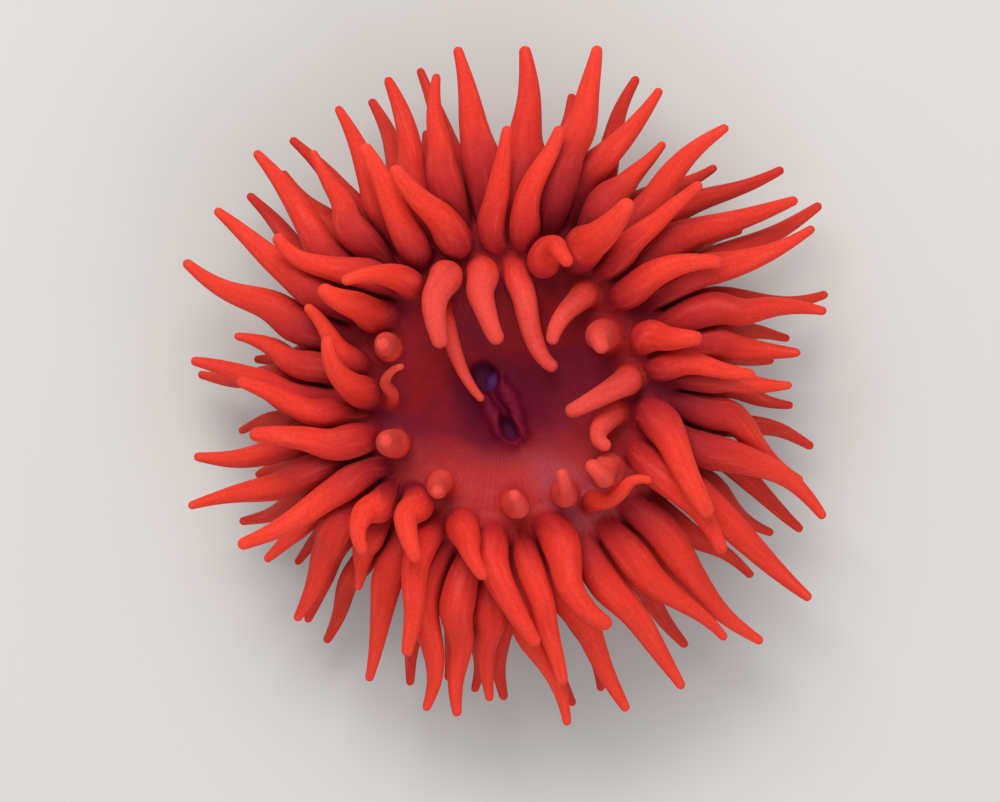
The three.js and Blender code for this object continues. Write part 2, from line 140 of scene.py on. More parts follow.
# third and outer: root azimuth, tip azimuth, tip reach, turn of the last stretch (if not 0) and width
# factor (if not 1).
THIRD_ROWS = [
    (4, 1, 30.3), (12.5, 7.2, 31.5), (21, 13.6, 35.2, -4), (32.5, 27.9, 37.1),
    (46, 33.1, 37.2, -10), (54.5, 49.8, 36.7, -2), (63.5, 57.4, 31.2), (70, 62.8, 36.2),
    (76.5, 75.1, 37.8, 14, 1.2), (86.5, 87, 36.6, 0, 1.25), (96, 98.2, 36.9, 6, 1.15),
    (104, 102.2, 34.4, -4), (113, 110.9, 35.7), (128, 120.8, 35.1), (134, 128.9, 32.8),
    (142, 136.4, 37, -4), (153, 148.1, 36.4), (161, 158, 37, -8, 1.1), (176, 168.7, 29.4),
    (184, 174.6, 33.6), (196, 191.9, 34), (203, 200.1, 36, -4), (212.5, 215.4, 31.4),
    (217.5, 227.7, 33.2, 4), (225, 233.4, 26.3), (231, 244.8, 34.4, -2), (250.5, 255.8, 35.2),
    (258, 261.6, 35.1), (265, 267.1, 33.2), (272, 280.4, 36.3), (284, 290.8, 36.6),
    (297.5, 300.7, 37), (306, 311.4, 35.4), (316, 315.6, 38.5), (332.5, 325.5, 39.4, 2),
    (347, 337.8, 36.6, -10), (357, 342.9, 33.1),
]
OUTER_ROWS = [
    (2.5, 356.9, 30.7), (9, 6.3, 28.8), (16, 10.1, 30.9), (24.5, 16.7, 36), (34, 30.6, 39.4),
    (40, 34, 30.5), (47, 38.5, 38.1, -4), (57, 46.7, 33), (68, 67.2, 36.4), (80, 77.5, 32.6),
    (101, 105.1, 35.8), (107.5, 107, 29), (116, 115, 34.5), (131, 130.6, 35.5), (138, 135.6, 33.6),
    (146, 142.7, 34.8, -8), (170, 173, 27), (177.5, 176.9, 33.1), (189, 189, 28.9, 6),
    (199, 199, 28.2, 4), (207, 206.2, 31.9), (215, 219.7, 29.1), (222, 229.4, 32.8),
    (229, 234.5, 33.3, 4), (247, 252.1, 33.2), (254.5, 258.7, 31.8), (261.5, 263.9, 32.5),
    (268.5, 269.8, 33.2), (278, 282.2, 34.7), (288, 287.5, 33.8), (302.5, 305.2, 33.7),
    (311, 312.7, 33.5), (323.5, 322.8, 33.1), (337, 331.8, 32.6), (344, 334.5, 35.1, -4),
    (352, 349.3, 33.5),
]
UPRIGHT_ROWS = {"inner": INNER_ROWS, "second": SECOND_ROWS}
SPREAD_ROWS = {"third": THIRD_ROWS, "outer": OUTER_ROWS}

PATH_POINTS = 15
SHARES = np.linspace(0, 1, PATH_POINTS)  # share of the length at each point of a path
ROOT_PULL = 0.36  # how far each end of a tentacle keeps its direction, as a share of its span
TIP_PULL = 0.34
BOW = 0.03  # how far a tentacle bows to one side, as a share of its span
WAVE = 0.03  # and how far it winds to both sides
SWOLLEN = 0.28  # share of its length at which a tentacle is thickest
ROOT_WIDTH = 0.7  # width at the root, as a share of the greatest
NECK_START = 1.4  # the higher, the later a bottle-necked tentacle starts to thin
SLENDER = 0.05  # how bottle-necked the tentacles are on average,
SLENDER_SPREAD = 0.35  # and how far each may depart from that
SHORT_WIDTH = 0.75  # share of a spread tentacle's width that doesn't depend on its span
USUAL_SPAN = 20  # span at which it has its full width
# Steps in radians from one tentacle to the next, which make neighbours differ.
BOW_STEP = 1.3
WAVE_STEP = 2.1
SLENDER_STEP = 1.7
TIP_HEIGHT_STEP = 2.4
GIRTH_STEP = 2.4


# ---- Small helpers ----
def polar(azimuth, reach, height):
    """The point at an azimuth in degrees, a distance from the Z axis and a height."""
    angle = radians(azimuth)
    return np.array([reach * cos(angle), reach * sin(angle), height])


def heading(azimuth, rise):
    """A unit vector along an azimuth that rises by an angle above level."""
    return polar(azimuth, cos(radians(rise)), sin(radians(rise)))


def smoothstep(low, high, value):
    """0 below low, 1 above high, and a smooth S between them."""
    t = np.clip((value - low) / (high - low), 0, 1)
    return t * t * (3 - 2 * t)


def soft_min(a, b, width):
    """The smaller of two distances, rounded off where they are about equal."""
    overlap = np.maximum(width - np.abs(a - b), 0) / np.maximum(width, 1e-6)
    return np.minimum(a, b) - overlap * overlap * width / 4


def soft_max(a, b, width):
    """The larger of two distances, rounded off where they are about equal."""
    return -soft_min(-a, -b, width)


def through(points, parts):
    """A smooth line through points, with parts stretches between each two (Catmull-Rom)."""
    points = np.asarray(points, float)
    padded = np.concatenate([[2 * points[0] - points[1]], points, [2 * points[-1] - points[-2]]])
    t = (np.arange(parts) / parts)[:, None]
    pieces = []
    for a, b, c, d in zip(padded, padded[1:], padded[2:], padded[3:]):
        curve = 2 * b + (c - a) * t + (2 * a - 5 * b + 4 * c - d) * t**2
        pieces.append((curve + (3 * b - 3 * c + d - a) * t**3) / 2)
    return np.concatenate([*pieces, points[-1:]])


# ---- Paths of the tentacles ----
def thickness(share, end, slender):
    """Half-width of a tentacle at a share of its length, as a share of its greatest half-width.

    It thins to its end evenly or, the more slender it is, like the neck of a bottle.
    """
    swelling = ROOT_WIDTH + (1 - ROOT_WIDTH) * np.sin(pi / 2 * np.minimum(share / SWOLLEN, 1))
    thinned = np.maximum(share - SWOLLEN, 0) / (1 - SWOLLEN)
    neck = np.sin(pi / 2 * thinned**NECK_START)
    return np.where(share < SWOLLEN, swelling, 1 - (1 - end) * (thinned + (neck - thinned) * slender))


def bezier_path(a, b, c, d):
    """PATH_POINTS evenly spaced points along a cubic Bezier curve."""

    def curve(t):
        t = t[:, None]
        return (1 - t) ** 3 * a + 3 * (1 - t) ** 2 * t * b + 3 * (1 - t) * t**2 * c + t**3 * d

    t = np.linspace(0, 1, 201)
    steps = np.linalg.norm(np.diff(curve(t), axis=0), axis=1)
    lengths = np.concatenate([[0], np.cumsum(steps)])
    return curve(np.interp(np.linspace(0, lengths[-1], PATH_POINTS), lengths, t))


def tentacle_path(order, root, lean, root_azimuth, tip, arrive, turn):
    """The path of one tentacle. Its bow and wave follow from its number in its circle."""
    span = np.linalg.norm(tip - root)
    line = np.degrees(np.arctan2(tip[1] - root[1], tip[0] - root[0]))
    leave = root + heading(root_azimuth, lean) * span * ROOT_PULL
    reach = tip - heading(line + turn, arrive) * span * TIP_PULL
    along = pi * SHARES
    sway = (BOW * sin(BOW_STEP * order) * np.sin(along)
            + WAVE * sin(WAVE_STEP * order + 0.7) * np.sin(2 * along))
    return bezier_path(root, leave, reach, tip) + span * sway[:, None] * heading(line + 90, 0), span


def half_widths(circle, order, width):
    """The half-width at each point of a tentacle's path; how slender it is follows from its number."""
    slender = SLENDER - SLENDER_SPREAD * sin(SLENDER_STEP * order)
    return width / 2 * thickness(SHARES, circle["end"], slender)


def pose_upright(
    circle, order, azimuth, reach, lean, tip_azimuth, tip_reach, tip_height, arrive, turn, factor
):
    """The path and half-widths of a tentacle of the inner or second circle."""
    root = polar(azimuth, reach, circle["top"] - ROOT_SINK)
    tip = polar(tip_azimuth, tip_reach, tip_height)
    path, _ = tentacle_path(order, root, lean, azimuth, tip, arrive, turn)
    return path, half_widths(circle, order, circle["width"] * factor)


def pose_spread(circle, order, azimuth, tip_azimuth, tip_reach, turn=0, factor=1):
    """The path and half-widths of a tentacle of the third or outer circle."""
    root = polar(azimuth, (circle["from"] + circle["to"]) / 2, circle["top"] - ROOT_SINK)
    height = circle["tip_height"] + circle["tip_spread"] * sin(TIP_HEIGHT_STEP * order + 1)
    tip = polar(tip_azimuth, tip_reach, height)
    path, span = tentacle_path(order, root, circle["lean"], azimuth, tip, circle["arrive"], turn)
    grown = SHORT_WIDTH + (1 - SHORT_WIDTH) * span / USUAL_SPAN
    return path, half_widths(circle, order, circle["width"] * grown * factor)


def pose_tentacles():
    """The paths of all tentacles before they settle, and their half-widths along them."""
    posed = [
        pose(CIRCLES[name], i, *row)
        for pose, circles in ((pose_upright, UPRIGHT_ROWS), (pose_spread, SPREAD_ROWS))
        for name, rows in circles.items()
        for i, row in enumerate(rows)
    ]
    return map(np.array, zip(*posed))


SETTLE_ROUNDS = 60
PUSH = 0.4  # share of an overlap that one round takes away at each of two points
EASE_ROUNDS = 3  # how often a push is spread along its tentacle
HELD_SHARE = 0.1  # the first share of a tentacle doesn't move,
FREED_SHARE = 0.25  # and over this next share it becomes free
PAIR_REACH = 2  # how near two points have to be at first, so that they may press on each other later


def close_pairs(points, radii, owner):
    """Pairs of path points, on two tentacles, near enough to press on each other."""
    first, second = [], []
    for i in range(len(points) - 1):
        distance = np.linalg.norm(points[i + 1:] - points[i], axis=1)
        near = distance < radii[i] + radii[i + 1:] + TENTACLE_SPACE + PAIR_REACH
        found = i + 1 + np.nonzero(near & (owner[i + 1:] != owner[i]))[0]
        first.append(np.full(len(found), i))
        second.append(found)
    return np.concatenate(first), np.concatenate(second)


def settle(paths, radii):
    """Tentacles that would pass through each other push apart, a little at a time."""
    count = len(paths)
    radii = radii.reshape(-1)
    owner = np.repeat(np.arange(count), PATH_POINTS)
    first, second = close_pairs(paths.reshape(-1, 3), radii, owner)
    least = radii[first] + radii[second] + TENTACLE_SPACE
    free = np.clip((SHARES - HELD_SHARE) / FREED_SHARE, 0, 1)[:, None]
    for _ in range(SETTLE_ROUNDS):
        points = paths.reshape(-1, 3)
        apart = points[first] - points[second]
        distance = np.linalg.norm(apart, axis=1) + 1e-6
        apart *= (PUSH * np.maximum(least - distance, 0) / distance)[:, None]
        push = np.stack([
            np.bincount(first, apart[:, k], len(points)) - np.bincount(second, apart[:, k], len(points))
            for k in range(3)
        ], axis=1).reshape(count, PATH_POINTS, 3) * free
        for _ in range(EASE_ROUNDS):
            eased = push.copy()
            eased[:, 1:-1] = (push[:, :-2] + 2 * push[:, 1:-1] + push[:, 2:]) / 4
            eased[:, -1] = (push[:, -1] + push[:, -2]) / 2
            eased[:, 0] = 0
            push = eased
        paths = paths + push
    return paths


# ---- Distance fields ----
STEP = 0.24  # spacing of the sample points
FAR = 3  # distance given where a tentacle is too far off to matter
ROOT_BLEND = 1.3  # width of the soft joint between a tentacle's root and the disc
ROOT_END = (0.15, 0.4)  # share of a tentacle over which that joint becomes hard
HARD_BLEND = 0.05
CREASE = 0.22  # half the space that is kept open between two tentacles that touch
CREASE_BLEND = 0.2
TABLE_STEP = 0.1  # spacing of the table that holds the distance to the body's outline


class Grid:
    """Evenly spaced sample points in a box."""

    def __init__(self, low, high):
        self.low = np.asarray(low, float)
        self.axes = [np.arange(a, b + STEP, STEP) for a, b in zip(low, high)]
        self.shape = tuple(len(axis) for axis in self.axes)

    def window(self, low, high):
        """Slices of the samples inside a smaller box."""
        first = np.maximum(np.floor((low - self.low) / STEP).astype(int), 0)
        last = np.minimum(np.ceil((high - self.low) / STEP).astype(int) + 1, self.shape)
        return tuple(slice(a, b) for a, b in zip(first, last))

    def samples(self, window):
        """The coordinates in a window, shaped so that they broadcast together."""
        x, y, z = (axis[part] for axis, part in zip(self.axes, window))
        return x[:, None, None], y[None, :, None], z[None, None, :]


OUTLINE_PARTS = 5  # stretches between two points of the outline


def body_outline():
    """The body's outline from the middle of the foot to the mouth, as [distance from axis, height]."""
    foot = [(0, 0), (FOOT_RADIUS - 0.8, 0), (FOOT_RADIUS - 0.2, 0.15), (FOOT_RADIUS, 0.6),
            (FOOT_RADIUS - 0.6, 1.5), (FOOT_RADIUS - 2, 3)]
    column = [(WAIST_RADIUS + 0.3, 5), (WAIST_RADIUS, 7.5), (WAIST_RADIUS + 0.2, 10.5),
              (SHOULDER_RADIUS - 0.5, 12.6)]
    collar = [(COLLAR_RADIUS - 0.7, 13.6), (COLLAR_RADIUS - 0.3, 14.6), (COLLAR_RADIUS - 0.8, 15.5),
              (SHOULDER_RADIUS + 0.1, COLUMN_TOP)]
    crown = [(18.6, 16.6), (18.2, 17.9), (17.1, 19), (15.4, 19.6), (13.2, 19.6), (11.2, DISC_RIM)]
    bowl = [(9.3, 18.8), (7.4, 18), (5.6, DISC_FLOOR + 0.35), (4, DISC_FLOOR + 0.3),
            (2, DISC_FLOOR + 0.4), (0, DISC_FLOOR + 0.4)]
    return through(foot + column + collar + crown + bowl, OUTLINE_PARTS)


def outline_distances(outline, reaches, heights):
    """Signed distance to the outline, negative inside, on a table of reaches and heights."""
    r, z = np.meshgrid(reaches, heights, indexing="ij")
    nearest = np.full(r.shape, 1e9)
    inside = np.zeros(r.shape, bool)
    closed = np.concatenate([outline, outline[:1]])
    for (r0, z0), (r1, z1) in zip(closed, closed[1:]):
        length2 = (r1 - r0) ** 2 + (z1 - z0) ** 2
        if length2 < 1e-12:
            continue
        if r0 + r1 > 1e-6:
            t = np.clip(((r - r0) * (r1 - r0) + (z - z0) * (z1 - z0)) / length2, 0, 1)
            nearest = np.minimum(nearest, np.hypot(r - r0 - t * (r1 - r0), z - z0 - t * (z1 - z0)))
        if z0 != z1:
            crosses = ((z0 > z) != (z1 > z)) & (r < (r1 - r0) * (z - z0) / (z1 - z0) + r0)
            inside ^= crosses
    return np.where(inside, -nearest, nearest)


def bead_sizes():
    """The radius of each stinging bead; no two neighbours are alike."""
    index = np.arange(BEAD_COUNT)
    return BEAD_RADIUS * (1 + 0.13 * np.sin(2.3 * index) + 0.08 * np.sin(5.1 * index + 1))


BEAD_INSET = 0.95  # how far the beads' middles lie inside the collar's edge,
BEAD_DROP = 0.75  # and below the column's top


def bead_distance(x, y, z):
    """Distance to the nearest stinging bead of the collar."""
    azimuth = np.arctan2(y, x)
    pitch = 2 * pi / BEAD_COUNT
    index = np.round(azimuth / pitch)
    radius = bead_sizes()[index.astype(int) % BEAD_COUNT]
    reach = COLLAR_RADIUS - BEAD_INSET
    middle = index * pitch
    across = np.hypot(x - reach * np.cos(middle), y - reach * np.sin(middle))
    return np.hypot(across, z - COLUMN_TOP + BEAD_DROP) - radius


def mouth_axes(x, y):
    """Coordinates along and across the mouth slit, from its middle."""
    turn = radians(MOUTH_TURN)
    along = (x - MOUTH_CENTRE[0]) * cos(turn) + (y - MOUTH_CENTRE[1]) * sin(turn)
    across = (y - MOUTH_CENTRE[1]) * cos(turn) - (x - MOUTH_CENTRE[0]) * sin(turn)
    return along, across


def oval_distance(along, across, length, width):
    """About the distance to an upright oval wall with these half-axes."""
    q = np.sqrt((along / length) ** 2 + (across / width) ** 2) + 1e-6
    slope = np.sqrt((along / length**2) ** 2 + (across / width**2) ** 2) / q + 1e-6
    return (q - 1) / slope


LIP_LENGTH = 3.9  # half-axes of the oval along which the lips run
LIP_WIDTH = 1.2
LIP_RADIUS = 0.66
LIP_RISE = 0.5  # height of the lips' middle above the disc
LIP_BLEND = 0.9
SLIT_LENGTH = 3  # half-axes of the slit between the lips
SLIT_WIDTH = 0.16
SLIT_RISE = 0.1  # height of the slit's bottom above the disc
SLIT_BLEND = 0.6
# The slit's two ends stand open: place along and across the slit, half-axes along and across it, and
# height of the bottom.
MOUTH_PITS = [(3.3, 0.1, 1.8, 1.6, 15.1), (-2.7, 0.3, 1.5, 0.8, 15.5)]
PIT_BLEND = 0.6
PIT_TAPER = 0.1  # share of its width that a pit loses in each millimetre of depth
# A swelling of the throat's wall in the wider end: place along and across the slit, height, radius.
THROAT_FOLD = (2.2, -0.6, 15.7, 1)
FOLD_BLEND = 0.4
BEAD_BLEND = 0.45
BEAD_HEIGHTS = (13, 18)  # only here do the beads change the skin,
MOUTH_HEIGHT = 12  # and only above this does the mouth


def fold_distance(x, y, z):
    """Distance to the swelling in the wider end of the mouth."""
    fold_along, fold_across, height, radius = THROAT_FOLD
    along, across = mouth_axes(x, y)
    return np.hypot(np.hypot(along - fold_along, across - fold_across), z - height) - radius


COLUMN_FOLDS = 48
FOLD_DEPTH = 0.05
RIDGE_HEIGHT = 0.16
RIDGE_WIDTH = 1.4
WRINKLES = 26  # around the mouth
WRINKLE_HEIGHT = 0.03


def lift_of_disc(x, y, roots):
    """Height of the ridges from the inner two circles' roots to the mouth, and of its wrinkles."""
    lift = np.zeros(x.shape)
    for root in roots:
        direction = root[:2] / np.hypot(*root[:2])
        along = x * direction[0] + y * direction[1]
        across = x * direction[1] - y * direction[0]
        fade = smoothstep(5.5, 11, along) * (1 - smoothstep(16, 19, along))
        lift = np.maximum(lift, fade * np.exp(-(across / RIDGE_WIDTH) ** 2))
    along, across = mouth_axes(x, y)
    turn = np.arctan2(across, along)
    wrinkle = np.cos(WRINKLES * turn + 3 * np.sin(3 * turn) + 2 * np.sin(5 * turn))
    wrinkle *= 1 - smoothstep(3.2, 5.2, np.hypot(along, across))
    return RIDGE_HEIGHT * lift * smoothstep(5, 8, np.hypot(x, y)) + WRINKLE_HEIGHT * wrinkle


def cut_mouth(distance, along, across, z):
    """The distance to the body after the slit and its two open ends are cut into it."""
    slit = oval_distance(along, across - 0.25 * np.sin(1.7 * along), SLIT_LENGTH, SLIT_WIDTH)
    distance = soft_max(distance, -np.maximum(slit, DISC_FLOOR + SLIT_RISE - z), SLIT_BLEND)
    for centre, side, length, width, bottom in MOUTH_PITS:
        narrowing = 1 - PIT_TAPER * (DISC_FLOOR + 1 - z)
        pit = oval_distance(along - centre, across - side, length * narrowing, width * narrowing)
        distance = soft_max(distance, -np.maximum(pit, bottom - z), PIT_BLEND)
    return distance


def body_distance(grid, roots):
    """The distance to the body without its tentacles, at every sample of the grid."""
    reaches = np.arange(0, 48, TABLE_STEP)
    heights = np.arange(-2, 36, TABLE_STEP)
    table = outline_distances(body_outline(), reaches, heights)
    x, y = np.meshgrid(grid.axes[0], grid.axes[1], indexing="ij")
    azimuth = np.arctan2(y, x)
    wave = np.sin(2 * azimuth + 0.6) + 0.7 * np.sin(5 * azimuth + 2) + 0.4 * np.sin(9 * azimuth)
    # The bowl is centred on the mouth, and the rim on the axis.
    shift = 1 - smoothstep(5, 12, np.hypot(x, y))
    bowl_reach = np.hypot(x - shift * MOUTH_CENTRE[0], y - shift * MOUTH_CENTRE[1])
    lift = lift_of_disc(x, y, roots)
    along, across = mouth_axes(x, y)
    lip_wall = oval_distance(along, across, LIP_LENGTH, LIP_WIDTH)
    lip_turn = np.arctan2(across / LIP_WIDTH, along / LIP_LENGTH)
    lip_radius = LIP_RADIUS * (1 + 0.22 * np.sin(7 * lip_turn) + 0.12 * np.sin(16 * lip_turn + 1))
    folds = FOLD_DEPTH * np.sin(COLUMN_FOLDS * azimuth + 3 * np.sin(5 * azimuth))
    field = np.empty(grid.shape, np.float32)
    for k, z in enumerate(grid.axes[2]):
        row = int(np.clip((z - heights[0]) / TABLE_STEP, 0, len(heights) - 2))
        part = np.clip((z - heights[row]) / TABLE_STEP, 0, 1)
        profile = table[:, row] * (1 - part) + table[:, row + 1] * part
        fade = np.clip(1 - z / COLUMN_TOP, 0, 1)
        distance = np.interp(bowl_reach / (1 + OUTLINE_WOBBLE * fade * wave), reaches, profile)
        distance += folds * smoothstep(1, 4, z) * (1 - smoothstep(11, 13, z))
        distance -= lift * smoothstep(15.5, 17, z)
        if BEAD_HEIGHTS[0] < z < BEAD_HEIGHTS[1]:
            distance = soft_min(distance, bead_distance(x, y, z), BEAD_BLEND)
        if z > MOUTH_HEIGHT:
            lips = np.hypot(lip_wall, z - DISC_FLOOR - LIP_RISE) - lip_radius
            distance = soft_min(distance, lips, LIP_BLEND)
            distance = cut_mouth(distance, along, across, z)
            distance = soft_min(distance, fold_distance(x, y, z), FOLD_BLEND)
        field[:, :, k] = distance
    return field


LINE_PARTS = 4  # stretches between two points of a tentacle's path
GIRTH_WAVE = 0.025  # how much a tentacle's width rises and falls along it


def tentacle_line(path, radii, phase):
    """The line of a tentacle in short stretches: points, radii and shares of its length."""
    points = through(path, LINE_PARTS)
    share = np.linspace(0, 1, len(points))
    wave = 1 + GIRTH_WAVE * np.sin(9 * share + phase)
    radii = np.interp(share, SHARES, radii) * wave
    # The round end starts one radius before the tip.
    length = np.linalg.norm(np.diff(points, axis=0), axis=1).sum()
    kept = share <= 1 - radii[-1] / length
    return points[kept], radii[kept], share[kept]


def tentacle_distance(grid, line):
    """The distance to one tentacle inside its window, and the share of its length that is nearest."""
    points, radii, share = line
    margin = radii.max() + ROOT_BLEND + 2 * STEP
    window = grid.window(points.min(0) - margin, points.max(0) + margin)
    start = np.array([part.start for part in window])
    distance = np.full([part.stop - part.start for part in window], FAR, np.float32)
    nearest = np.zeros(distance.shape, np.float32)
    for a, b, ra, rb, sa, sb in zip(points, points[1:], radii, radii[1:], share, share[1:]):
        near = max(ra, rb) + ROOT_BLEND + STEP
        part = grid.window(np.minimum(a, b) - near, np.maximum(a, b) + near)
        x, y, z = grid.samples(part)
        local = tuple(slice(p.start - s, p.stop - s) for p, s in zip(part, start))
        d = b - a
        x, y, z = x - a[0], y - a[1], z - a[2]
        t = np.clip((x * d[0] + y * d[1] + z * d[2]) / (d @ d), 0, 1)
        away = np.sqrt((x - t * d[0]) ** 2 + (y - t * d[1]) ** 2 + (z - t * d[2]) ** 2)
        away -= ra + (rb - ra) * t
        closer = away < distance[local]
        distance[local] = np.where(closer, away, distance[local])
        nearest[local] = np.where(closer, sa + (sb - sa) * t, nearest[local])
    return window, distance, nearest


def anemone_field(grid, lines, roots):
    """Distances to the whole animal, the body alone and the nearest tentacle, and which that is."""
    body = body_distance(grid, roots)
    closest = np.full(grid.shape, FAR, np.float32)
    second = closest.copy()
    owner = np.full(grid.shape, -1, np.int16)
    tentacles = [tentacle_distance(grid, line) for line in lines]
    for i, (window, distance, _) in enumerate(tentacles):
        closer = distance < closest[window]
        second[window] = np.where(closer, closest[window], np.minimum(second[window], distance))
        closest[window] = np.where(closer, distance, closest[window])
        owner[window] = np.where(closer, i, owner[window])
    field = body.copy()
    for i, (window, distance, share) in enumerate(tentacles):
        other = np.where(owner[window] == i, second[window], closest[window])
        parted = soft_max(distance, CREASE - (other - distance) / 2, CREASE_BLEND)
        blend = ROOT_BLEND * (1 - smoothstep(*ROOT_END, share)) + HARD_BLEND
        field[window] = np.minimum(field[window], soft_min(body[window], parted, blend))
    return field, body, closest, owner


# ---- From field to mesh ----
def surface_net(field):
    """The zero surface of a field as vertices, in samples from the first one, and quads."""
    inside = field < 0
    corners = [(i, j, k) for i in (0, 1) for j in (0, 1) for k in (0, 1)]
    nx, ny, nz = (count - 1 for count in field.shape)
    filled = sum(inside[i:nx + i, j:ny + j, k:nz + k].astype(np.int8) for i, j, k in corners)
    cells = np.argwhere((filled > 0) & (filled < 8))
    index = np.full(filled.shape, -1, np.int32)
    index[tuple(cells.T)] = np.arange(len(cells))
    total = np.zeros(cells.shape)
    crossings = np.zeros(len(cells))
    for corner in corners:
        for axis in range(3):
            if corner[axis]:
                continue
            a = cells + corner
            value = field[tuple(a.T)]
            b = a.copy()
            b[:, axis] += 1
            other = field[tuple(b.T)]
            crosses = (value < 0) != (other < 0)
            point = (a - cells).astype(float)
            point[:, axis] += value / np.where(crosses, value - other, 1)
            total[crosses] += point[crosses]
            crossings += crosses
    vertices = cells + total / crossings[:, None]
    quads = []
    for axis in range(3):
        second, third = (axis + 1) % 3, (axis + 2) % 3
        low = np.moveaxis(inside, (axis, second, third), (0, 1, 2))
        edge = np.argwhere(low[:-1, 1:-1, 1:-1] != low[1:, 1:-1, 1:-1]) + (0, 1, 1)
        outward = low[tuple(edge.T)]
        at = np.empty_like(edge)
        at[:, axis], at[:, second], at[:, third] = edge.T
        ring = []
        for back_second, back_third in ((0, 0), (1, 0), (1, 1), (0, 1)):
            cell = at.copy()
            cell[:, second] -= back_second
            cell[:, third] -= back_third
            ring.append(index[tuple(cell.T)])
        ring = np.stack(ring, axis=1)
        ring[~outward] = ring[~outward][:, ::-1]
        quads.append(ring)
    return vertices, np.concatenate(quads)


def sample(field, points):
    """The field and its slope at points given in samples, by linear interpolation."""
    cell = np.clip(np.floor(points).astype(int), 0, np.array(field.shape) - 2)
    u, v, w = (points - cell).T
    i, j, k = cell.T
    c = {(a, b, e): field[i + a, j + b, k + e] for a in (0, 1) for b in (0, 1) for e in (0, 1)}

    def mix(low, high, t):
        return low * (1 - t) + high * t

    x00, x01 = mix(c[0, 0, 0], c[1, 0, 0], u), mix(c[0, 0, 1], c[1, 0, 1], u)
    x10, x11 = mix(c[0, 1, 0], c[1, 1, 0], u), mix(c[0, 1, 1], c[1, 1, 1], u)
    value = mix(mix(x00, x10, v), mix(x01, x11, v), w)
    slope_x = mix(
        mix(c[1, 0, 0] - c[0, 0, 0], c[1, 1, 0] - c[0, 1, 0], v),
        mix(c[1, 0, 1] - c[0, 0, 1], c[1, 1, 1] - c[0, 1, 1], v), w)
    slope_y = mix(x10 - x00, x11 - x01, w)
    slope_z = mix(x01, x11, v) - mix(x00, x10, v)
    return value, np.stack([slope_x, slope_y, slope_z], axis=1)


RELAX_ROUNDS = 3
RELAX_SHARE = 0.6  # share of the way to its neighbours' middle that a vertex moves
LARGEST_MOVE = 0.5  # most that a vertex moves back to the surface at once, in samples


def relax_mesh(vertices, quads, field):
    """Evens out the vertices along the surface, and keeps each one on it."""
    edges = np.concatenate([quads[:, [0, 1]], quads[:, [1, 2]], quads[:, [2, 3]], quads[:, [3, 0]]])
    ends = np.concatenate([edges, edges[:, ::-1]])
    degree = np.bincount(ends[:, 0], minlength=len(vertices))
    for _ in range(RELAX_ROUNDS):
        mean = np.stack([
            np.bincount(ends[:, 0], vertices[ends[:, 1], k], len(vertices)) for k in range(3)
        ], axis=1) / degree[:, None]
        vertices = vertices + RELAX_SHARE * (mean - vertices)
        for _ in range(2):
            value, slope = sample(field, vertices)
            steep = np.maximum((slope**2).sum(1), 0.25 * STEP**2)
            move = slope * (value / steep)[:, None]
            vertices = vertices - np.clip(move, -LARGEST_MOVE, LARGEST_MOVE)
    return vertices


# ---- What each vertex belongs to ----
def tentacle_coordinates(vertices, owner, lines):
    """For each vertex near a tentacle: the share of its length, and the angle round it."""
    share, angle = np.zeros((2, len(vertices)))
    for i, (points, _, shares) in enumerate(lines):
        own = np.nonzero(owner == i)[0]
        if not len(own):
            continue
        at = vertices[own]
        best = np.full(len(own), 1e9)
        for a, b, sa, sb in zip(points, points[1:], shares, shares[1:]):
            d = b - a
            t = np.clip((at - a) @ d / (d @ d), 0, 1)
            away = at - a - t[:, None] * d
            distance = (away**2).sum(1)
            closer = distance < best
            best[closer] = distance[closer]
            share[own[closer]] = (sa + (sb - sa) * t)[closer]
            ahead = d / np.linalg.norm(d)
            side = np.cross(ahead, (0, 0, 1))
            side /= np.linalg.norm(side) + 1e-9
            turn = np.arctan2(away @ side, away @ np.cross(side, ahead))
            angle[own[closer]] = turn[closer]
    return share, angle


def build_skin():
    """The skin's vertices and quads, and for each vertex what it belongs to."""
    paths, radii = pose_tentacles()
    paths = settle(paths, radii)
    phases = GIRTH_STEP * np.arange(len(paths))
    lines = [tentacle_line(*item) for item in zip(paths, radii, phases)]
    low, high = np.array(CAD_BOX) / MM
    grid = Grid(low - 1, high + 1)
    ridged = len(INNER_ROWS) + len(SECOND_ROWS)
    field, body, closest, owner = anemone_field(grid, lines, paths[:ridged, 0])
    # The foot stands flat on the floor.
    field = np.maximum(field, -grid.axes[2][None, None, :].astype(np.float32))
    vertices, quads = surface_net(field)
    vertices = relax_mesh(vertices, quads, field)
    cell = np.clip(np.round(vertices).astype(int), 0, np.array(grid.shape) - 1)
    near = owner[tuple(cell.T)]
    to_body, _ = sample(body, vertices)
    to_tentacle, _ = sample(closest, vertices)
    vertices = grid.low + vertices * STEP
    share, angle = tentacle_coordinates(vertices, near, lines)
    on_tentacle = smoothstep(-0.6, 0.9, to_body - to_tentacle)
    return vertices, quads, {"near": near, "share": share, "angle": angle, "tentacle": on_tentacle}


# ---- Unwrap ----
STRIP_COLUMNS = 15  # the tentacles' strips stand in a table at the foot of the map
STRIP_ROWS = 8
STRIP_BOX = (0, 0, 1, 0.6)
DISC_BOX = (0, 0.6, 0.4, 1)
FOOT_BOX = (0.4, 0.6, 0.7, 0.9)
COLUMN_BOX = (0.7, 0.6, 1, 1)
COLUMN_SPAN = 22  # height that fills the column's island


def island(corner_u, corner_v, box, column=0, row=0, columns=1, rows=1):
    """Moves coordinates from the unit square into one cell of a table inside a box of the map."""
    left, bottom, right, top = box
    width = (right - left) / columns
    height = (top - bottom) / rows
    u = left + width * (column + 0.06 + 0.88 * corner_u)
    v = bottom + height * (row + 0.04 + 0.92 * corner_v)
    return u, v


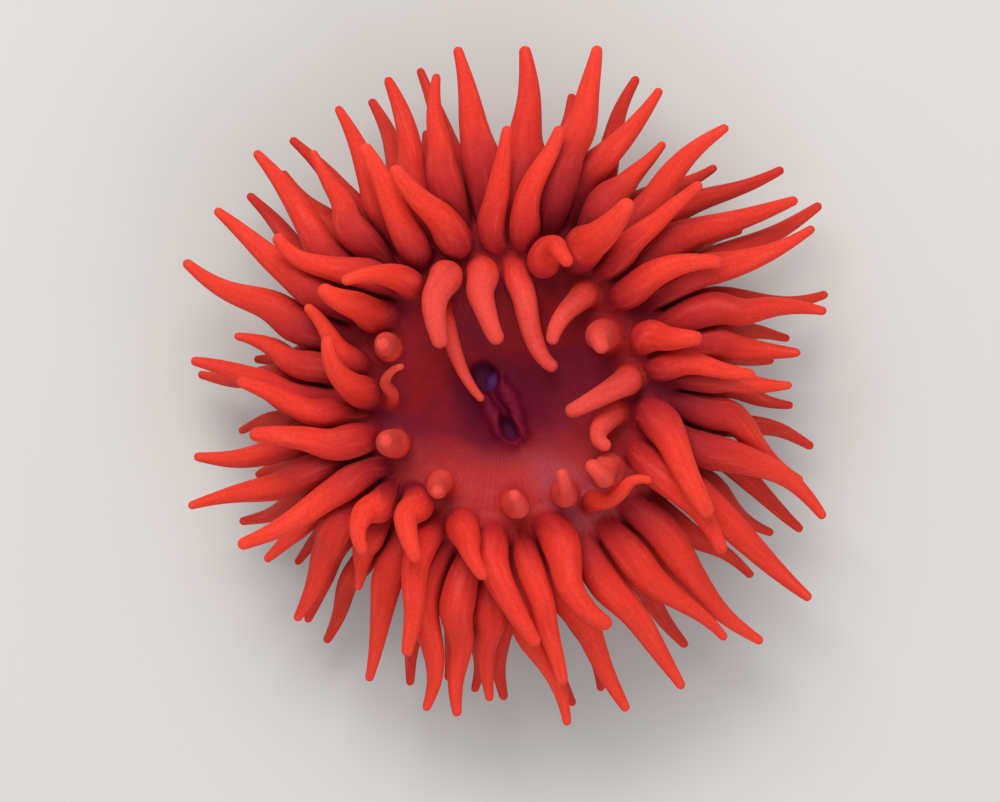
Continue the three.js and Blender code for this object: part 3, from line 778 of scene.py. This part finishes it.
def unrolled(turn):
    """Shares of a turn at each quad's corners, in one piece also where a quad crosses the seam."""
    wraps = turn.max(1) - turn.min(1) > 0.5
    return np.where(wraps[:, None] & (turn < 0.5), turn + 1, turn)


def unwrap(vertices, quads, parts):
    """Map coordinates of each quad's corners: a strip for each tentacle, and the body's islands."""
    corners = vertices[quads]
    middle = corners.mean(1)
    near = parts["near"][quads].max(1)
    on_tentacle = (parts["tentacle"][quads].mean(1) > 0.5) & (near >= 0)
    u, v = np.zeros((2, *quads.shape))
    # Tentacles: the angle round and the share along.
    turn = unrolled(parts["angle"][quads] / (2 * pi) + 0.5)
    row, column = np.divmod(near[:, None], STRIP_COLUMNS)
    around = np.clip(turn / 1.15, 0, 1)
    strip = island(around, parts["share"][quads], STRIP_BOX, column, row, STRIP_COLUMNS, STRIP_ROWS)
    # Body: a round island each for the disc and the foot's underside, and a long one for the column.
    normal = np.cross(corners[:, 2] - corners[:, 0], corners[:, 3] - corners[:, 1])
    normal /= np.linalg.norm(normal, axis=1)[:, None] + 1e-12
    size = 2.2 * FOOT_RADIUS
    flat_u = np.clip(corners[..., 0] / size + 0.5, 0, 1)
    flat_v = np.clip(corners[..., 1] / size + 0.5, 0, 1)
    around = unrolled(np.arctan2(corners[..., 1], corners[..., 0]) / (2 * pi) + 0.5)
    inner = (middle[:, 2] > COLUMN_TOP) & (np.hypot(middle[:, 0], middle[:, 1]) < SHOULDER_RADIUS)
    upward = (normal[:, 2] > 0.25) | inner
    under = (normal[:, 2] < -0.7) & (middle[:, 2] < 1)
    for chosen, (part_u, part_v) in (
        (on_tentacle, strip),
        (~on_tentacle & upward, island(flat_u, flat_v, DISC_BOX)),
        (~on_tentacle & ~upward & under, island(flat_u, flat_v, FOOT_BOX)),
        (~on_tentacle & ~upward & ~under,
         island(corners[..., 2] / COLUMN_SPAN, np.clip(around / 1.02, 0, 1), COLUMN_BOX)),
    ):
        u[chosen] = part_u[chosen]
        v[chosen] = part_v[chosen]
    return np.stack([u, v], axis=2)


# ---- Mesh ----
def attributes(vertices, parts):
    """What the material reads at each vertex, by name."""
    near, share, angle = parts["near"], parts["share"], parts["angle"]
    # A number from 0 to 1 of each tentacle's own.
    own = np.where(near >= 0, np.sin(12.9898 * near) * 43758.5453 % 1, 0.5)
    ends = np.cumsum([len(rows) for rows in (*UPRIGHT_ROWS.values(), *SPREAD_ROWS.values())])
    x, y, z = vertices.T
    return {
        "share": share,
        "tentacle": parts["tentacle"],
        "own": own,
        "circle": np.searchsorted(ends, near, "right"),
        # Round and slowly along each tentacle, for the noise of its streaks and painted highlights.
        "winding": np.stack([np.cos(angle), np.sin(angle), 1.6 * share + 9 * own], axis=1),
        "bead": 1 - smoothstep(0.02, 0.3, bead_distance(x, y, z)),
        "fold": 1 - smoothstep(0, 0.5, fold_distance(x, y, z)),
    }


def flat(values, kind=np.float32):
    """An array as a mesh takes it."""
    return values.astype(kind).reshape(-1)


def add_object(name, data):
    thing = bpy.data.objects.new(name, data)
    bpy.context.scene.collection.objects.link(thing)
    return thing


def make_skin():
    vertices, quads, parts = build_skin()
    mesh = bpy.data.meshes.new("anemone_skin")
    mesh.vertices.add(len(vertices))
    mesh.vertices.foreach_set("co", flat(vertices * MM))
    mesh.loops.add(quads.size)
    mesh.loops.foreach_set("vertex_index", flat(quads, np.int32))
    mesh.polygons.add(len(quads))
    mesh.polygons.foreach_set("loop_start", np.arange(0, quads.size, 4, dtype=np.int32))
    mesh.update(calc_edges=True)
    mesh.shade_smooth()
    mesh.uv_layers.new(name="OFBake").uv.foreach_set("vector", flat(unwrap(vertices, quads, parts)))
    for name, values in attributes(vertices, parts).items():
        kind, field = ("FLOAT", "value") if values.ndim == 1 else ("FLOAT_VECTOR", "vector")
        mesh.attributes.new(name, kind, "POINT").data.foreach_set(field, flat(values))
    return add_object("anemone_skin", mesh)


# ---- Materials ----
def tone(red, green, blue):
    """A display colour, 0 to 255, as the linear colour that a shader takes."""
    parts = [c / 255 for c in (red, green, blue)]
    return (*[c / 12.92 if c <= 0.04045 else ((c + 0.055) / 1.055) ** 2.4 for c in parts], 1)


# Tentacles
FLESH_ROOT = tone(122, 26, 43)
FLESH_ROOT_PAINTED_LIGHT = tone(178, 46, 50)  # painted light: roots on the low side of the disc are paler, where the light falls on them
FLESH = tone(230, 62, 45)
FLESH_OUTWARD = tone(236, 68, 49)
FLESH_TIP = tone(241, 79, 62)
FLESH_OWN = tone(208, 48, 43)  # each tentacle has its own share of this
# Painted light: the upright inner circle stands highest in the light and is paler.
FLESH_INNER_PAINTED_LIGHT = tone(218, 80, 73)
# Painted shade: the outer circle lies low, in the shade of the circles above it, and is duller.
FLESH_OUTER_PAINTED_SHADE = tone(176, 44, 36)
# Painted highlight: light streaks along the tentacles; the dark streaks are faint lines of their own.
PAINTED_HIGHLIGHT_STREAK = tone(250, 96, 84)
DARK_STREAK = tone(170, 30, 34)
PAINTED_LIGHT_LOW_SIDE = (-18 * MM, -8 * MM)  # Y over which the painted light of the low side passes into the rest
# Oral disc
DISC_CRIMSON = tone(146, 29, 36)
DISC_MAUVE = tone(124, 27, 48)
# Painted light: the disc's low side, the slope that faces the light, is lighter.
DISC_PAINTED_LIGHT = tone(204, 64, 60)
DISC_PAINTED_LIGHT_SIDE = (-9.5 * MM, -3 * MM)
DISC_PAINTED_REFLECTION = tone(168, 78, 96)  # painted reflection: a pale mauve band of sheen from the mouth to the low right
DISC_REFLECTION_AZIMUTH = radians(-52)
DISC_RAY = tone(92, 10, 24)
RAY_COUNT = 96
RING = tone(98, 9, 38)  # maroon ring round the mouth,
RING_RAY = tone(58, 4, 34)
RING_FADE = (4.2 * MM, 8.8 * MM)  # and the distances from the mouth over which it fades
LIPS = tone(114, 18, 46)
THROAT = tone(108, 28, 68)
THROAT_SWELLING = tone(98, 44, 108)
# Column, foot and collar
COLUMN_DARK = tone(128, 26, 22)
COLUMN_LIGHT = tone(150, 34, 28)
FOOT_LINE = tone(70, 110, 190)
FOOT_EDGE = tone(150, 60, 50)
BEAD = tone(60, 110, 210)
GRAIN = tone(160, 30, 34)
FLESH_FINISH = {
    "Subsurface Weight": 0.3,
    "Subsurface Radius": (1.0, 0.25, 0.15),
    "Subsurface Scale": 2.2 * MM,
    "Specular IOR Level": 0.06,
    "Sheen Weight": 0.02,
    "Sheen Roughness": 0.3,
    "Sheen Tint": tone(255, 150, 160),
}


class Shader:
    """A material's node tree, with short calls that add linked nodes."""

    def __init__(self, name):
        self.material = bpy.data.materials.new(name)
        self.material.use_nodes = True
        self.tree = self.material.node_tree
        self.surface = self.tree.nodes["Principled BSDF"]

    def put(self, socket, value):
        if isinstance(value, bpy.types.NodeSocket):
            self.tree.links.new(value, socket)
        else:
            socket.default_value = value

    def finish(self, inputs):
        """Sets the surface's inputs, and gives the material."""
        for name, value in inputs.items():
            self.put(self.surface.inputs[name], value)
        return self.material

    def node(self, kind, inputs=(), **settings):
        node = self.tree.nodes.new(kind)
        for name, value in settings.items():
            setattr(node, name, value)
        for socket, value in dict(inputs).items():
            self.put(node.inputs[socket], value)
        return node

    def math(self, operation, *values):
        return self.node("ShaderNodeMath", dict(enumerate(values)), operation=operation).outputs[0]

    def length(self, a, b):
        """The length of the line with these two sides."""
        squares = self.math("ADD", self.math("MULTIPLY", a, a), self.math("MULTIPLY", b, b))
        return self.math("SQRT", squares)

    def attribute(self, name, output="Fac"):
        return self.node("ShaderNodeAttribute", attribute_name=name).outputs[output]

    def noise(self, scale, detail=3, roughness=0.5, vector=None):
        inputs = {"Scale": scale, "Detail": detail, "Roughness": roughness}
        inputs["Vector"] = vector or self.place()
        return self.node("ShaderNodeTexNoise", inputs).outputs["Fac"]

    def place(self):
        return self.node("ShaderNodeTexCoord").outputs["Object"]

    def ease(self, value, low, high, start=0, end=1):
        """start where a value is at low, end where it is at high, and a smooth S between them."""
        inputs = {"Value": value, "From Min": low, "From Max": high, "To Min": start, "To Max": end}
        node = self.node("ShaderNodeMapRange", inputs, interpolation_type="SMOOTHSTEP")
        return node.outputs["Result"]

    def mix(self, factor, a, b, blend="MIX"):
        node = self.node("ShaderNodeMix", data_type="RGBA", blend_type=blend)
        self.put(node.inputs["Factor"], factor)
        self.put(node.inputs[6], a)
        self.put(node.inputs[7], b)
        return node.outputs[2]

    def layers(self, color, *layers):
        """A colour with others laid over it in turn, each as strongly as its factor says."""
        for factor, layer in layers:
            color = self.mix(factor, color, layer)
        return color


def flesh_color(shader, y):
    """Tentacles: maroon at the root, orange red along the length, with faint streaks and painted
    highlight streaks.

    Painted light makes the inner circle paler, and painted shade makes the outer one duller.
    """
    share = shader.attribute("share")
    own = shader.attribute("own")
    circle = shader.attribute("circle")
    streaks_and_highlights = shader.noise(2.4, 3, 0.6, shader.attribute("winding", "Vector"))
    # Painted light: on the low side the roots pass sooner into the flesh colour.
    reddens = shader.math("SUBTRACT", shader.ease(circle, 0, 1, 0.3, 0.6),
                          shader.ease(y, *PAINTED_LIGHT_LOW_SIDE, 0.2, 0))
    beyond_root = shader.ease(share, 0.1, 0.5)
    return shader.layers(
        FLESH_ROOT,
        # painted light on the roots of the low side
        (shader.ease(y, *PAINTED_LIGHT_LOW_SIDE, 0.6, 0), FLESH_ROOT_PAINTED_LIGHT),
        (shader.ease(share, 0, reddens), FLESH),
        (shader.ease(share, 0.4, 0.9), FLESH_OUTWARD),
        (shader.ease(share, 0.9, 1, 0, 0.7), FLESH_TIP),
        (shader.ease(own, 0, 1, 0, 0.4), FLESH_OWN),
        # painted light on the inner circle, painted shade on the outer one
        (shader.math("MULTIPLY", shader.ease(circle, 0, 1, 0.65, 0), beyond_root), FLESH_INNER_PAINTED_LIGHT),
        (shader.math("MULTIPLY", shader.ease(circle, 1.5, 3, 0, 0.6), beyond_root), FLESH_OUTER_PAINTED_SHADE),
        # painted highlight streaks, then faint dark streaks
        (shader.ease(streaks_and_highlights, 0.5, 0.75, 0, 0.24), PAINTED_HIGHLIGHT_STREAK),
        (shader.ease(streaks_and_highlights, 0.25, 0.5, 0.28, 0), DARK_STREAK),
    )


def disc_color(shader, x, y, z, patches):
    """Oral disc, and the strength of its fine rays.

    It is crimson with mauve patches and a maroon ring at the mouth. Painted light makes it lighter on
    the low side, and a painted reflection lays a pale mauve band from the mouth to the low right.
    """
    from_x = shader.math("SUBTRACT", x, MOUTH_CENTRE[0] * MM)
    from_y = shader.math("SUBTRACT", y, MOUTH_CENTRE[1] * MM)
    from_mouth = shader.length(from_x, from_y)
    turn = shader.math("ARCTAN2", from_y, from_x)
    wander = shader.ease(shader.noise(500, 2), 0.35, 0.65)
    waves = shader.math("SINE", shader.math("MULTIPLY", turn, RAY_COUNT))
    rays = shader.math("MULTIPLY", waves, wander)
    # A painted reflection: a pale mauve band along one azimuth from the mouth, on the low side only.
    aside = shader.math("ABSOLUTE", shader.math("SUBTRACT", turn, DISC_REFLECTION_AZIMUTH))
    painted_reflection = shader.math("MULTIPLY", shader.ease(aside, 0.08, 0.34, 0.5, 0),
                       shader.ease(y, -9 * MM, -5 * MM, 1, 0))
    frayed = shader.math("ADD", from_mouth, shader.math("MULTIPLY", shader.noise(300), 2.4 * MM))
    ring = shader.ease(frayed, *RING_FADE, 0.95, 0)
    lips = shader.math("MULTIPLY", shader.ease(z, 17.8 * MM, 18.3 * MM),
                       shader.ease(from_mouth, 3.8 * MM, 4.8 * MM, 1, 0))
    disc = shader.layers(
        DISC_CRIMSON,
        (shader.ease(patches, 0.4, 0.64), DISC_MAUVE),
        # painted light on the low side
        (shader.ease(y, *DISC_PAINTED_LIGHT_SIDE, 0.6, 0), DISC_PAINTED_LIGHT),
        # painted reflection
        (painted_reflection, DISC_PAINTED_REFLECTION),
        (shader.ease(rays, 0.1, 1, 0, 0.14), DISC_RAY),
        (ring, RING),
        (shader.math("MULTIPLY", ring, shader.ease(rays, 0, 1, 0, 0.5)), RING_RAY),
        (lips, LIPS),
        (shader.ease(z, 16.4 * MM, 17.3 * MM, 1, 0), THROAT),
        (shader.attribute("fold"), THROAT_SWELLING),
    )
    return disc, rays


def column_color(shader, z, patches):
    """Column: darker and browner in patches, with a thin blue line round the foot."""
    return shader.layers(
        COLUMN_DARK,
        (shader.ease(patches, 0.35, 0.65), COLUMN_LIGHT),
        (shader.ease(z, 0.9 * MM, 1.3 * MM, 1, 0), FOOT_LINE),
        (shader.ease(z, 0.25 * MM, 0.5 * MM, 1, 0), FOOT_EDGE),
    )


def skin_material():
    shader = Shader("anemone_flesh")
    x, y, z = shader.node("ShaderNodeSeparateXYZ", {0: shader.place()}).outputs
    on_tentacle = shader.attribute("tentacle")
    patches = shader.noise(140, 2)
    grain = shader.noise(2600, 2, 0.6)
    disc, rays = disc_color(shader, x, y, z, patches)
    outside = shader.math("MAXIMUM", shader.ease(shader.length(x, y), 18.2 * MM, 19.2 * MM),
                          shader.ease(z, 12.5 * MM, 13.5 * MM, 1, 0))
    body = shader.mix(outside, disc, column_color(shader, z, patches))
    color = shader.mix(on_tentacle, body, flesh_color(shader, y))
    color = shader.mix(shader.ease(grain, 0.3, 0.7, 0, 0.16), color, GRAIN, "MULTIPLY")
    color = shader.mix(shader.attribute("bead"), color, BEAD)

    # Fine grain, and the disc's rays stand out a little.
    bumps = shader.math("ADD", shader.math("MULTIPLY", grain, 0.35), shader.noise(700, 3))
    on_body = shader.math("SUBTRACT", 1, on_tentacle)
    raised_rays = shader.math("MULTIPLY", rays, shader.math("MULTIPLY", on_body, 0.06))
    bumps = shader.math("ADD", bumps, raised_rays)
    relief = shader.node("ShaderNodeBump", {"Height": bumps, "Distance": 0.05 * MM, "Strength": 0.6})

    roughness = shader.ease(patches, 0.3, 0.7, 0.48, 0.6)
    return shader.finish({
        "Base Color": color, "Normal": relief.outputs[0], "Roughness": roughness, **FLESH_FINISH})


def floor_material():
    return Shader("pale_floor").finish({
        "Base Color": tone(206, 204, 200), "Roughness": 0.9, "Specular IOR Level": 0.1})


# ---- Floor, light and camera ----
FLOOR_SIZE = 6  # metres
PIXELS_WIDE = 1000
PIXELS_PER_MM = 9.5
VIEW_CENTRE = (-0.63, -1.16)  # point of the object's frame in the middle of the picture
CAMERA_HEIGHT = 1  # metres above the tentacles
TENTACLE_LEVEL = 20  # height at which the scale holds
# Each lamp: place in metres, size, power in watts, colour.
LAMPS = {
    "key": ((-0.1, 0.42, 0.62), 0.5, 4.2, (1, 0.97, 0.94)),
    "fill": ((0.3, -0.6, 0.62), 0.8, 2.6, (1, 0.98, 0.97)),
}
SKY_COLOR = (0.9, 0.94, 1, 1)
SKY_STRENGTH = 0.55


def add_floor():
    mesh = bpy.data.meshes.new("floor")
    half = FLOOR_SIZE / 2
    square = [(-half, -half, 0), (half, -half, 0), (half, half, 0), (-half, half, 0)]
    mesh.from_pydata(square, [], [(0, 1, 2, 3)])
    mesh.materials.append(floor_material())
    floor = add_object("floor", mesh)


def add_lamp(name, place, size, power, color):
    """A round lamp that points at the middle of the foot."""
    light = bpy.data.lights.new(name, "AREA")
    light.shape = "DISK"
    light.size = size
    light.energy = power
    light.color = color
    lamp = add_object(name, light)
    lamp.location = place
    lamp.rotation_euler = (-lamp.location).to_track_quat("-Z", "Y").to_euler()


def light_scene():
    for name, lamp in LAMPS.items():
        add_lamp(name, *lamp)
    world = bpy.data.worlds.new("studio")
    world.use_nodes = True
    background = world.node_tree.nodes["Background"]
    background.inputs["Color"].default_value = SKY_COLOR
    background.inputs["Strength"].default_value = SKY_STRENGTH
    scene = bpy.context.scene
    scene.world = world
    scene.view_settings.view_transform = "Standard"


def add_camera():
    """A camera straight above, so far away that raised tentacles look hardly larger than low ones."""
    camera = bpy.data.cameras.new("camera")
    span = PIXELS_WIDE / PIXELS_PER_MM * MM
    camera.lens = camera.sensor_width * CAMERA_HEIGHT / span
    camera.clip_start = 0.01
    holder = add_object("camera", camera)
    holder.location = (VIEW_CENTRE[0] * MM, VIEW_CENTRE[1] * MM, CAMERA_HEIGHT + TENTACLE_LEVEL * MM)
    bpy.context.scene.camera = holder


def corners(box):
    return [list(box[0]), list(box[1])]


def main():
    skin = make_skin()
    skin.data.materials.append(skin_material())
    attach(skin, "root")
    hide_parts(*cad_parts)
    add_floor()
    light_scene()
    add_camera()


main()
